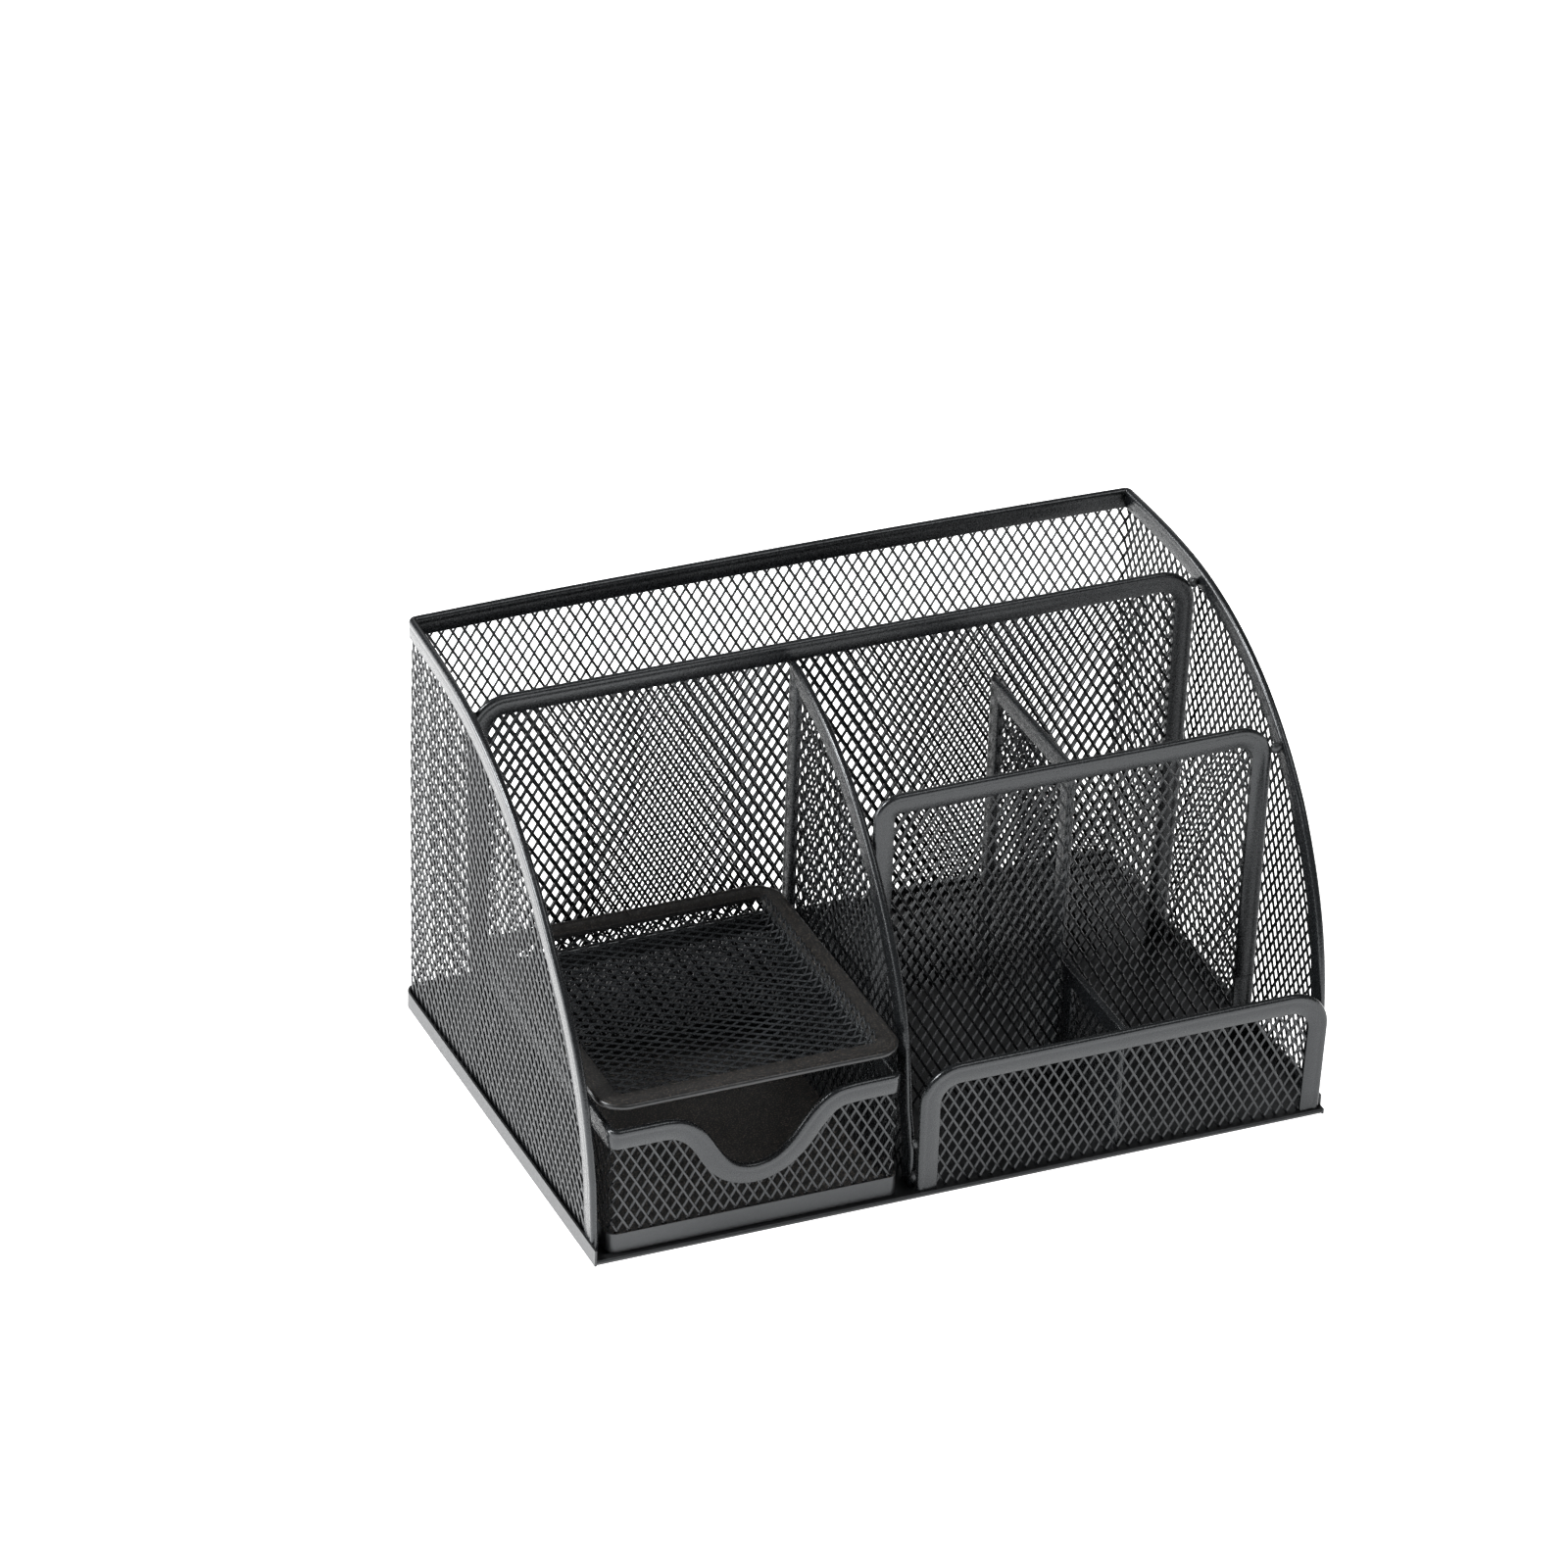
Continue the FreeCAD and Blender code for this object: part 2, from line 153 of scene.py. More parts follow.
# ---------------------------------------------------------------- materials
def add_node(tree, kind, **values):
    """A node with its unlinked inputs set by name."""
    node = tree.nodes.new(kind)
    for key, value in values.items():
        node.inputs[key.replace("_", " ")].default_value = value
    return node


def ramp(tree, low, high, low_colour, high_colour):
    """A colour ramp with two stops."""
    node = tree.nodes.new("ShaderNodeValToRGB")
    first, last = node.color_ramp.elements
    first.position, last.position = low, high
    first.color, last.color = low_colour, high_colour
    return node


def grey(level, warmth=0.0):
    """A near-neutral colour; warmth above 0 is browner, below 0 is bluer."""
    return (level * (1.0 + warmth), level, level * (1.0 - warmth), 1.0)


def mix_over(tree, colour, factor, over):
    """Mix a plain colour over another output, by a factor output."""
    mix = tree.nodes.new("ShaderNodeMix")
    mix.data_type = "RGBA"
    tree.links.new(factor, mix.inputs["Factor"])
    tree.links.new(colour, mix.inputs["A"])
    mix.inputs["B"].default_value = over
    return mix.outputs["Result"]


def combine(tree, operation, first, second):
    """A maths node on one output and either another output or a number."""
    node = add_node(tree, "ShaderNodeMath")
    node.operation = operation
    tree.links.new(first, node.inputs[0])
    if isinstance(second, float):
        node.inputs[1].default_value = second
    else:
        tree.links.new(second, node.inputs[1])
    return node.outputs[0]


def worn_edges(tree, colour, amount, over):
    """Paler paint along convex edges."""
    shape = tree.nodes.new("ShaderNodeNewGeometry")
    edge = ramp(tree, 0.54, 0.66, (0, 0, 0, 1), (amount, amount, amount, 1))
    tree.links.new(shape.outputs["Pointiness"], edge.inputs["Fac"])
    return mix_over(tree, colour, edge.outputs["Color"], over)


def settled_dust(tree, colour, where, grain, level):
    """Specks of dust on faces that look up."""
    motes = add_node(tree, "ShaderNodeTexNoise", Scale=grain * 1.4, Detail=1.0, Roughness=0.4)
    picked = ramp(tree, 0.56, 0.68, (0, 0, 0, 1), (1, 1, 1, 1))
    facing = tree.nodes.new("ShaderNodeNewGeometry")
    split = tree.nodes.new("ShaderNodeSeparateXYZ")
    flat = add_node(tree, "ShaderNodeMapRange", From_Min=0.6, From_Max=0.9)
    link = tree.links.new
    link(where, motes.inputs["Vector"])
    link(motes.outputs["Fac"], picked.inputs["Fac"])
    link(facing.outputs["Normal"], split.inputs["Vector"])
    link(split.outputs["Z"], flat.inputs["Value"])
    settled = combine(tree, "MULTIPLY", flat.outputs["Result"], picked.outputs["Color"])
    return mix_over(tree, colour, settled, grey(level, 0.18))


PEEL_DEPTH = 0.1 * MM


def orange_peel(tree, shader, fine, specks, strength):
    """Bump of the cured powder: a fine waviness with pits over it."""
    peel = add_node(tree, "ShaderNodeBump", Strength=strength, Distance=PEEL_DEPTH)
    pits = add_node(tree, "ShaderNodeBump", Strength=strength * 0.5, Distance=PEEL_DEPTH)
    link = tree.links.new
    link(fine.outputs["Fac"], peel.inputs["Height"])
    link(specks.outputs["Distance"], pits.inputs["Height"])
    link(peel.outputs["Normal"], pits.inputs["Normal"])
    link(pits.outputs["Normal"], shader.inputs["Normal"])


def powder_coat(name, dark, light, warmth, rough, grain, bump, worn=0.0, dust=0.0):
    """Black powder coat: mottled, orange-peel bump, uneven gloss, worn edges, dust on level faces."""
    mat = bpy.data.materials.new(name)
    mat.use_nodes = True
    tree = mat.node_tree
    link = tree.links.new
    shader = tree.nodes["Principled BSDF"]
    shader.inputs["IOR"].default_value = 1.5
    shader.inputs["Specular Tint"].default_value = (0.94, 0.97, 1.0, 1.0)
    where = tree.nodes.new("ShaderNodeTexCoord").outputs["Object"]
    broad = add_node(tree, "ShaderNodeTexNoise", Scale=90.0, Detail=4.0, Roughness=0.6)
    fine = add_node(tree, "ShaderNodeTexNoise", Scale=grain, Detail=3.0, Roughness=0.65)
    specks = add_node(tree, "ShaderNodeTexVoronoi", Scale=grain * 0.8, Randomness=1.0)
    for node in (broad, fine, specks):
        link(where, node.inputs["Vector"])
    mottle = combine(tree, "ADD", broad.outputs["Fac"], fine.outputs["Fac"])
    tone = ramp(tree, 0.32, 0.7, grey(dark, warmth), grey(light, warmth))
    link(combine(tree, "MULTIPLY", mottle, 0.5), tone.inputs["Fac"])
    colour = tone.outputs["Color"]
    if worn > 0:
        colour = worn_edges(tree, colour, worn, grey(light * 3.2, warmth))
    if dust > 0:
        colour = settled_dust(tree, colour, where, grain, dust)
    link(colour, shader.inputs["Base Color"])
    gloss = add_node(tree, "ShaderNodeMapRange", To_Min=rough - 0.07, To_Max=rough + 0.09)
    link(fine.outputs["Fac"], gloss.inputs["Value"])
    link(gloss.outputs["Result"], shader.inputs["Roughness"])
    orange_peel(tree, shader, fine, specks, bump)
    return mat


STRAND_COAT = powder_coat(
    "strand_coat", dark=0.003, light=0.009, warmth=-0.10, rough=0.25, grain=1500.0, bump=0.30,
)
TRAY_COAT = powder_coat(
    "tray_coat", dark=0.008, light=0.036, warmth=-0.08, rough=0.25, grain=1500.0, bump=0.30,
)
RIM_COAT = powder_coat(
    "rim_coat", dark=0.004, light=0.010, warmth=-0.12, rough=0.26, grain=1700.0, bump=0.40, worn=0.4,
)
FLANGE_COAT = powder_coat(
    "flange_coat", dark=0.006, light=0.014, warmth=0.03, rough=0.33, grain=1500.0, bump=0.5,
    worn=0.4, dust=0.06,
)
BASE_COAT = powder_coat(
    "base_coat", dark=0.005, light=0.014, warmth=-0.04, rough=0.38, grain=1300.0, bump=0.5, worn=0.3,
)
DRAWER_COAT = powder_coat(
    "drawer_coat", dark=0.005, light=0.014, warmth=-0.06, rough=0.36, grain=1500.0, bump=0.5,
    worn=0.3, dust=0.10,
)
WELD_COAT = powder_coat(
    "weld_coat", dark=0.010, light=0.022, warmth=-0.04, rough=0.30, grain=2200.0, bump=0.7, worn=0.4,
)


# ---------------------------------------------------------------- mesh helpers
def bow(points, share):
    """Spring points outwards by a share of the case's bow, most in the middle of each free sheet."""
    p = np.array(points, float)
    along = 1.0 - ((p[:, 1] - BOW_MID_Y) / BOW_REACH_Y) ** 2
    up = np.clip((p[:, 2] - BOW_START_Z) / (BOW_FULL_Z - BOW_START_Z), 0.0, 1.0) ** 0.85
    across = np.clip(p[:, 0] / HALF_WIDTH, -1.05, 1.05)
    p[:, 0] += share * SIDE_BOW * across * np.clip(along, 0.0, 1.0) * up
    rear = np.clip((p[:, 1] - BACK_BOW_FROM_Y) / (BACK_Y - BACK_BOW_FROM_Y), 0.0, 1.0)
    middle = np.clip(1.0 - across ** 2, 0.0, 1.0)
    high = np.clip(p[:, 2] / TOP_Z, 0.0, 1.0)
    p[:, 1] += share * BACK_BOW * middle * rear * high
    return p


def add_piece(name, verts, faces, material, body, nodes, sprung=0.0, smooth=None):
    """One finished object: mesh, material, body and the CAD nodes that it stands for."""
    mesh = bpy.data.meshes.new(name)
    points = bow(verts, sprung)
    mesh.from_pydata(points.tolist(), [], faces)
    mesh.validate()
    mesh.update()
    if smooth is not None:
        mesh.shade_smooth()
        mesh.set_sharp_from_angle(angle=math.radians(smooth))
    obj = bpy.data.objects.new(name, mesh)
    bpy.context.scene.collection.objects.link(obj)
    mesh.materials.append(material)
    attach(obj, body)
    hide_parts(*nodes)


def sweep(stations, section, closed, verts, faces):
    """Carry a closed section along stations (point, inward, across); inward may be longer at a mitre."""
    base = len(verts)
    n = len(section)
    for point, inward, across in stations:
        for a, b in section:
            verts.append(point + inward * a + across * b)
    count = len(stations)
    for i in range(count if closed else count - 1):
        here, there = base + i * n, base + (i + 1) % count * n
        for k in range(n):
            m = (k + 1) % n
            faces.append((here + k, here + m, there + m, there + k))
    if not closed:
        faces.append(tuple(base + k for k in reversed(range(n))))
        faces.append(tuple(base + (count - 1) * n + k for k in range(n)))


def waver(stations, seed):
    """Let a folded strip wander slightly, as a bent and welded one does."""
    rng = random.Random(seed)
    waves = [(rng.uniform(18, 95), rng.uniform(0, 6.28), rng.uniform(0.3, 1.0)) for _ in range(5)]
    moved, travelled, last = [], 0.0, stations[0][0]
    for point, inward, across in stations:
        travelled += (point - last).length
        last = point
        off = sum(math.sin(travelled * f + p) * s for f, p, s in waves) / 3.0
        side = sum(math.cos(travelled * f * 0.8 + p) * s for f, p, s in waves) / 3.0
        moved.append((point + inward * (0.5 + off) * WAVER + across * side * WAVER, inward, across))
    return moved


def pinch(stations, at, half_gap=0.25 * MM, depth=0.22):
    """A narrow groove across a strip where its two ends meet, at the station nearest a point."""
    near = min(range(len(stations) - 1), key=lambda i: (stations[i][0] - at).length)
    point, inward, across = stations[near]
    along = (stations[near + 1][0] - point).normalized()
    point = point + along * along.dot(at - point)
    cut = [
        (point - along * half_gap, inward, across), (point, inward, across * (1.0 - depth)),
        (point + along * half_gap, inward, across),
    ]
    if (at - stations[near][0]).dot(along) > 0:
        return stations[:near + 1] + cut + stations[near + 1:]
    return stations[:near] + cut + stations[near:]


def fold_section(width, half, bead):
    """Section of a strip folded over a mesh edge: a round bead, a shallow groove, then two flat legs."""
    pts = []
    for i in range(9):
        t = math.radians(90 + 22.5 * i)
        pts.append((bead + bead * math.cos(t), bead * math.sin(t)))
    low = [
        (bead * 1.6, -0.95 * half), (bead * 1.9, -0.86 * half), (bead * 2.3, -0.88 * half),
        (width - 0.35 * MM, -0.88 * half), (width, -0.66 * half),
    ]
    pts += low
    pts += [(a, -b) for a, b in reversed(low)]
    return pts


RIM_SECTION = fold_section(RIM_W, RIM_T / 2, RIM_T / 2)


def lattice(
    place, u0, u1, v0, v1, keep, seed, lean=1.0, front=1.0, width=BAR_WIDTH,
    step_u=SHORT_WAY, step_v=LONG_WAY,
):
    """Continuous strands both ways of a diamond mesh, over the part of (u, v) that keep() allows."""
    rng = random.Random(seed)
    cols = int(round((u1 - u0) / step_u * 2))
    rows = int(math.ceil((v1 - v0) / step_v * 2))
    du, dv = step_u / 2, step_v / 2
    verts, faces = [], []
    half_w, half_d = width / 2, BAR_DEPTH / 2
    for way in (1, -1):
        for start in range(-rows - cols, rows + cols + 1, 2):
            run = []
            for i in range(cols + 1):
                j = start + way * i
                inside = 0 <= j <= rows and 0 <= j + way <= rows and i < cols
                ok = inside and keep(u0 + (i + 0.5) * du, v0 + (j + 0.5 * way) * dv)
                if ok:
                    if not run:
                        run.append((u0 + i * du, v0 + j * dv))
                    run.append((u0 + (i + 1) * du, v0 + (j + way) * dv))
                if (not ok or i == cols) and run:
                    add_bar(run, place, way, lean, front, rng, half_w, half_d, verts, faces)
                    run = []
    return verts, faces


def add_bar(run, place, way, lean, front, rng, half_w, half_d, verts, faces):
    """One strand: a rectangular bar through the nodes of a run, leaning about its own length."""
    spots = [place(u, v) for u, v in run]
    base = len(verts)
    last = len(spots) - 1
    lean_here = lean * (BAR_LEAN + rng.uniform(-0.04, 0.04))
    for k, (point, normal) in enumerate(spots):
        ahead, behind = spots[min(k + 1, last)][0], spots[max(k - 1, 0)][0]
        along = (ahead - behind).normalized()
        side = normal.cross(along).normalized() * way
        turn = lean_here + rng.uniform(-0.04, 0.04)
        wide = side * math.cos(turn) + normal * math.sin(turn)
        deep = normal * math.cos(turn) - side * math.sin(turn)
        at = point + normal * (-way * front * BAR_STAGGER + rng.uniform(-1, 1) * BAR_JITTER)
        at = at + side * rng.uniform(-1, 1) * BAR_JITTER
        thick = 1.0 + rng.uniform(-0.08, 0.08)
        for a, b in ((-1, -1), (1, -1), (1, 1), (-1, 1)):
            verts.append(at + wide * (a * half_w * thick) + deep * (b * half_d))
    for k in range(last):
        here, there = base + 4 * k, base + 4 * (k + 1)
        for a in range(4):
            b = (a + 1) % 4
            faces.append((here + a, here + b, there + b, there + a))
    faces.append((base + 3, base + 2, base + 1, base))
    end = base + 4 * last
    faces.append((end, end + 1, end + 2, end + 3))


# ---------------------------------------------------------------- curves
def smooth_points(points, per_span):
    """A smooth line through points (Catmull-Rom)."""
    out = []
    n = len(points)
    for i in range(n - 1):
        p0 = np.array(points[max(i - 1, 0)])
        p1, p2 = np.array(points[i]), np.array(points[i + 1])
        p3 = np.array(points[min(i + 2, n - 1)])
        for k in range(per_span):
            t = k / per_span
            a = 2 * p1 + (p2 - p0) * t
            b = (2 * p0 - 5 * p1 + 4 * p2 - p3) * t ** 2
            c = (3 * p1 - p0 - 3 * p2 + p3) * t ** 3
            out.append(tuple((a + b + c) / 2))
    out.append(tuple(points[-1]))
    return out


PROFILE_LINE = smooth_points(SIDE_PROFILE, 6)
STEEPEST = 40.0               # slope limit near the upright foot of the profile


def edge_height(y, inset=0.0):
    """Height of the side profile at a depth, moved inwards by inset."""
    if y < FRONT_EDGE_Y + inset:
        return -1.0
    ys = [p[0] for p in PROFILE_LINE]
    zs = [p[1] for p in PROFILE_LINE]
    low, high = y - 1.0 * MM, y + 1.0 * MM
    z = float(np.interp(y, ys, zs))
    slope = (float(np.interp(high, ys, zs)) - float(np.interp(low, ys, zs))) / (2.0 * MM)
    return z - inset * math.sqrt(1.0 + min(slope, STEEPEST) ** 2)


def profile_stations(x, across, inset, front_y, bottom, back_limit):
    """Stations up a side profile: straight up the front edge, then back along the curve."""
    pts = [(front_y, bottom), (front_y, (bottom + SIDE_PROFILE[0][1]) / 2)]
    line = PROFILE_LINE
    curve = []
    for i, (y, z) in enumerate(line):
        a, b = line[max(i - 1, 0)], line[min(i + 1, len(line) - 1)]
        d = Vector((0.0, b[0] - a[0], b[1] - a[1])).normalized()
        normal = Vector((0.0, d.z, -d.y))
        spot = Vector((x, y, z)) + normal * inset
        if spot.y <= back_limit:
            curve.append((spot, normal, across))
    stations = [(Vector((x, y, z)), Vector((0.0, 1.0, 0.0)), across) for y, z in pts]
    return stations + curve


def plate_stations(u0, u1, v0, v1, r0, r1, to_3d, across):
    """Stations up the left edge, over the top and down the right edge of a plate with rounded corners."""
    flat = [((u0, v0), (1.0, 0.0)), ((u0, (v0 + v1) / 2), (1.0, 0.0))]
    for cu, r, first in ((u0 + r0, r0, 180.0), (u1 - r1, r1, 90.0)):
        if r > 0:
            for i in range(13):
                t = math.radians(first - 90.0 * i / 12)
                c, s = math.cos(t), math.sin(t)
                flat.append(((cu + r * c, v1 - r + r * s), (-c, -s)))
        else:
            flat.append(((cu, v1), (1.0 if first > 100 else -1.0, -1.0)))
        if first > 100:
            for i in range(1, 12):
                u = u0 + r0 + (u1 - r1 - u0 - r0) * i / 12
                flat.append(((u, v1), (0.0, -1.0)))
    flat += [((u1, (v0 + v1) / 2), (-1.0, 0.0)), ((u1, v0), (-1.0, 0.0))]
    out = []
    origin = to_3d(0.0, 0.0)
    for (u, v), (nu, nv) in flat:
        out.append((to_3d(u, v), to_3d(nu, nv) - origin, across))
    return out


# ---------------------------------------------------------------- the case
def wall_plan(u):
    """Point and outward direction on the plan of left side, back and right side, at arc length u."""
    half, back = HALF_WIDTH - RIM_T / 2, BACK_Y - RIM_T / 2
    straight = back - CORNER_R - FRONT_EDGE_Y
    turn = CORNER_R * math.pi / 2
    across = 2 * (half - CORNER_R)
    if u < straight:
        return (-half, FRONT_EDGE_Y + u), (-1.0, 0.0)
    u -= straight
    if u < turn:
        t = math.pi - u / CORNER_R
        c, s = math.cos(t), math.sin(t)
        return (-half + CORNER_R + CORNER_R * c, back - CORNER_R + CORNER_R * s), (c, s)
    u -= turn
    if u < across:
        return (-half + CORNER_R + u, back), (0.0, 1.0)
    u -= across
    if u < turn:
        t = math.pi / 2 - u / CORNER_R
        c, s = math.cos(t), math.sin(t)
        return (half - CORNER_R + CORNER_R * c, back - CORNER_R + CORNER_R * s), (c, s)
    u -= turn
    return (half, back - CORNER_R - u), (1.0, 0.0)


def wall_sheet():
    """The outer mesh round the left side, back and right side."""
    half, back = HALF_WIDTH - RIM_T / 2, BACK_Y - RIM_T / 2
    straight = back - CORNER_R - FRONT_EDGE_Y
    total = 2 * straight + CORNER_R * math.pi + 2 * (half - CORNER_R)
    cols = round(total / SHORT_WAY)

    def place(u, v):
        (x, y), (nx, ny) = wall_plan(min(max(u, 0.0), total))
        return Vector((x, y, v)), Vector((nx, ny, 0.0))

    def keep(u, v):
        (x, y), _ = wall_plan(min(max(u, 0.0), total))
        return v < edge_height(y, HIDDEN)

    verts, faces = lattice(
        place, 0.0, total, FLOOR_Z, TOP_Z, keep, 11, lean=0.5, front=-1.0, width=WIDE_BAR,
        step_u=total / cols,
    )
    add_piece("outer_wall_mesh", verts, faces, STRAND_COAT, "case", ["wall_mesh"], sprung=1.0)


def wall_strip():
    """The strip along the free edge of the outer mesh, from the left foot over the back to the right."""
    half, back = HALF_WIDTH - RIM_T / 2, BACK_Y - RIM_T / 2
    straight = back - CORNER_R - FRONT_EDGE_Y
    left = Vector((-1.0, 0.0, 0.0))
    limit = back - CORNER_R
    line = profile_stations(-half, left, 0.0, FRONT_EDGE_Y, FLOOR_Z, limit)
    down = Vector((0.0, 0.0, -1.0))
    corner, back_edge = [], []
    for i in range(9):
        (x, y), (nx, ny) = wall_plan(straight + CORNER_R * math.pi / 2 * i / 8)
        corner.append((Vector((x, y, TOP_Z)), down, Vector((nx, ny, 0.0))))
    for i in range(1, 24):
        x = (-half + CORNER_R) + 2 * (half - CORNER_R) * i / 24
        back_edge.append((Vector((x, back, TOP_Z)), down, Vector((0.0, 1.0, 0.0))))
    left_half = line + corner
    mirrored = []
    for point, inward, across in reversed(left_half):
        flipped = Vector((-across.x, across.y, across.z))
        mirrored.append((Vector((-point.x, point.y, point.z)), inward, flipped))
    verts, faces = [], []
    sweep(waver(left_half + back_edge + mirrored, 21), RIM_SECTION, False, verts, faces)
    add_piece(
        "outer_wall_rim", verts, faces, RIM_COAT, "case", ["wall_rim"],
        sprung=1.0, smooth=FOLD_ANGLE,
    )


def rimmed_plate(
    name, to_3d, across, u0, u1, v0, v1, r0, r1, seed, nodes, lean=1.0, seam=None, width=BAR_WIDTH,
    sprung=1.0,
):
    """A mesh panel with a folded strip along its left, top and right edges."""
    def place(u, v):
        return to_3d(u, v), across

    def keep(u, v):
        if not (u0 + HIDDEN < u < u1 - HIDDEN and v < v1 - HIDDEN):
            return False
        for cu, r, side in ((u0 + r0, r0, -1), (u1 - r1, r1, 1)):
            if r > 0 and (u - cu) * side > 0 and v > v1 - r:
                if math.hypot(u - cu, v - v1 + r) > r - HIDDEN:
                    return False
        return True

    verts, faces = lattice(place, u0, u1, v0, v1, keep, seed, lean=lean, width=width)
    add_piece(name + "_lattice", verts, faces, STRAND_COAT, "case", [nodes[0]], sprung=sprung)
    verts, faces = [], []
    stations = plate_stations(u0, u1, v0, v1, r0, r1, to_3d, across)
    if seam is not None:
        stations = pinch(stations, seam)
    sweep(waver(stations, seed + 1), RIM_SECTION, False, verts, faces)
    add_piece(
        name + "_strip", verts, faces, RIM_COAT, "case", [nodes[1]],
        sprung=sprung, smooth=FOLD_ANGLE,
    )


def cross_panel(name, radius_left, radius_right, seed, seam_height=None, width=BAR_WIDTH, sprung=1.0):
    """A panel that runs left to right, placed from its CAD strip."""
    lo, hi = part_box(name + "_rim")
    y = (lo.y + hi.y) / 2

    def to_3d(u, v):
        return Vector((u, y, v))

    seam = None if seam_height is None else to_3d(hi.x, seam_height)
    rimmed_plate(
        name, to_3d, Vector((0.0, -1.0, 0.0)), lo.x, hi.x, lo.z, hi.z, radius_left, radius_right,
        seed, [name + "_mesh", name + "_rim"], lean=-1.0, seam=seam, width=width, sprung=sprung,
    )


def depth_panel(name, seed):
    """A small square-cornered divider that runs front to back, placed from its CAD strip."""
    lo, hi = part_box(name + "_rim")
    x = (lo.x + hi.x) / 2

    def to_3d(u, v):
        return Vector((x, u, v))

    rimmed_plate(
        name, to_3d, Vector((-1.0, 0.0, 0.0)), lo.y, hi.y, lo.z, hi.z, 0.0, 0.0,
        seed, [name + "_mesh", name + "_rim"], sprung=STIFF_SHARE,
    )


def centre_divider():
    """The tall divider whose front edge follows the case's side profile, a little inside it."""
    lo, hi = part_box("centre_divider_rim")
    x = (lo.x + hi.x) / 2
    inset = max(lo.y - FRONT_EDGE_Y, TOP_Z - hi.z)

    def place(u, v):
        return Vector((x, u, v)), Vector((-1.0, 0.0, 0.0))

    def keep(u, v):
        return u < hi.y - HIDDEN and u > lo.y + HIDDEN and v < edge_height(u, inset + HIDDEN)

    verts, faces = lattice(place, lo.y, hi.y, FLOOR_Z, hi.z, keep, 41)
    add_piece(
        "centre_divider_lattice", verts, faces, STRAND_COAT, "case", ["centre_divider_mesh"],
        sprung=1.0,
    )
    across = Vector((-1.0, 0.0, 0.0))
    stations = profile_stations(x, across, inset, lo.y, FLOOR_Z, hi.y - 1.0 * MM)
    top = stations[-1][0]
    corner = Vector((x, hi.y, top.z))
    stations.append((corner, Vector((0.0, -1.0, -1.0)), across))
    for part in (0.5, 0.0):
        spot = Vector((x, hi.y, FLOOR_Z + (top.z - FLOOR_Z) * part))
        stations.append((spot, Vector((0.0, -1.0, 0.0)), across))
    verts, faces = [], []
    sweep(waver(stations, 42), RIM_SECTION, False, verts, faces)
    add_piece(
        "centre_divider_strip", verts, faces, RIM_COAT, "case", ["centre_divider_rim"],
        sprung=1.0, smooth=FOLD_ANGLE,
    )


# ---------------------------------------------------------------- tray
def ring_stations(lo, hi, z, radius, per_corner, per_side):
    """Stations round a rounded rectangle in plan, anticlockwise from the front right corner."""
    corners = (
        (hi.x - radius, lo.y + radius, -90.0), (hi.x - radius, hi.y - radius, 0.0),
        (lo.x + radius, hi.y - radius, 90.0), (lo.x + radius, lo.y + radius, 180.0),
    )
    spots = []
    for cx, cy, first in corners:
        for i in range(per_corner + 1):
            t = math.radians(first + 90.0 * i / per_corner)
            c, s = math.cos(t), math.sin(t)
            spots.append(((cx + radius * c, cy + radius * s), (c, s)))
    full = []
    for i, (spot, normal) in enumerate(spots):
        full.append((spot, normal))
        nxt = spots[(i + 1) % len(spots)]
        if (i + 1) % (per_corner + 1) == 0:
            for k in range(1, per_side):
                t = k / per_side
                mid = (spot[0] + (nxt[0][0] - spot[0]) * t, spot[1] + (nxt[0][1] - spot[1]) * t)
                full.append((mid, normal))
    up, out = Vector((0.0, 0.0, 1.0)), []
    for (x, y), (nx, ny) in full:
        normal = Vector((nx, ny, 0.0))
        out.append((Vector((x, y, z)), -normal, up))
    return out


def tray_frame():
    """The flat strip round the tray."""
    lo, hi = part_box("tray_flange")
    thick = hi.z - lo.z
    mid_z = (hi.z + lo.z) / 2
    section = fold_section(FLANGE_W, thick / 2, thick / 2)
    verts, faces = [], []
    stations = ring_stations(lo, hi, mid_z, TRAY_R, 8, 10)
    stations = pinch(stations, Vector((TRAY_SEAM_X, hi.y, mid_z)))
    sweep(waver(stations, 51), section, True, verts, faces)
    add_piece("tray_frame", verts, faces, FLANGE_COAT, "case", ["tray_flange"], smooth=FOLD_ANGLE)


